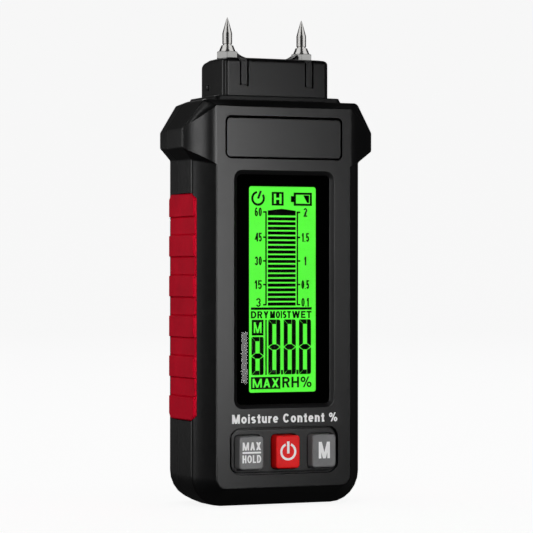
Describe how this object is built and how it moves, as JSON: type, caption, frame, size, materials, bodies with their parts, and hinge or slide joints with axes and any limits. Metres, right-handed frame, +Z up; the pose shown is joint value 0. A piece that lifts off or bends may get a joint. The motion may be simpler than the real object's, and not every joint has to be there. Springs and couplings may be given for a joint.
{
  "type": "moisture meter",
  "caption": "Handheld pin-type moisture meter with a lit bar-graph display, three press keys, soft side grips and a hinged battery door on the back.",
  "frame": {"origin": "centre of the base, on the surface that the meter stands on", "axes": "+Z up towards the electrodes, -Y out of the display, +X to the right of a person reading it"},
  "size_m": [0.0694, 0.0332, 0.1638],
  "materials": {
    "charcoal_casing": "fine satin moulded texture",
    "black_casing": "fine moulded texture",
    "clear_lens": "polished, hard coated",
    "black_print": "gloss black print",
    "display": "lit green with black segments",
    "light_guide": "clear moulded",
    "white_plastic": "plain moulded",
    "silicone": "smooth",
    "grey_key": "satin moulded with printed legend",
    "red_key": "satin moulded with printed legend",
    "switch_black": "plain moulded",
    "board_green": "solder-resist lacquer",
    "grip_red": "soft-touch, fine texture",
    "plated_steel": "bright plated",
    "insert_brass": "machined",
    "wire_white": "smooth insulation",
    "wire_red": "smooth insulation",
    "cell_jacket": "printed sleeve",
    "contact_steel": "nickel plated",
    "screw_black": "black zinc plated"
  },
  "bodies": {
    "casing": {"front_casing": "charcoal_casing", "rear_casing": "black_casing", "pin_head": "black_casing", "name_plate": "charcoal_casing", "display_window": "clear_lens", "window_mask": "black_print", "lcd_panel": "display", "lcd_frame": "white_plastic", "backlight": "light_guide", "backlight_led": "white_plastic", "elastomer_strip": "silicone", "keypad_surround": "black_casing", "max_hold_switch": "switch_black", "power_switch": "switch_black", "mode_switch": "switch_black", "main_board": "board_green", "controller_chip": "switch_black", "buzzer": "switch_black", "left_grip": "grip_red", "right_grip": "grip_red", "left_electrode": "plated_steel", "right_electrode": "plated_steel", "left_nut": "plated_steel", "right_nut": "plated_steel", "left_insert": "insert_brass", "right_insert": "insert_brass", "electrode_leads": "wire_white", "battery_1": "cell_jacket", "battery_2": "cell_jacket", "battery_3": "cell_jacket", "positive_contacts": "contact_steel", "negative_springs": "contact_steel", "battery_leads": "wire_red", "case_screws": "screw_black", "board_screws": "contact_steel"},
    "max_hold_key": {"max_hold_button": "grey_key", "max_hold_plunger": "switch_black"},
    "power_key": {"power_button": "red_key", "power_plunger": "switch_black"},
    "mode_key": {"mode_button": "grey_key", "mode_plunger": "switch_black"},
    "door": {"battery_door": "black_casing"}
  },
  "joints": [
    {"name": "max_hold_press", "type": "slide", "parent": "casing", "child": "max_hold_key", "axis": [0, 1, 0], "range_m": [0, 0.0005], "stiffness_N_per_m": 800},
    {"name": "power_press", "type": "slide", "parent": "casing", "child": "power_key", "axis": [0, 1, 0], "range_m": [0, 0.0005], "stiffness_N_per_m": 800},
    {"name": "mode_press", "type": "slide", "parent": "casing", "child": "mode_key", "axis": [0, 1, 0], "range_m": [0, 0.0005], "stiffness_N_per_m": 800},
    {"name": "door_hinge", "type": "hinge", "parent": "casing", "child": "door", "pos_m": [0, 0.0155, 0.0282], "axis": [-1, 0, 0], "range_deg": [0, 80]}
  ]
}
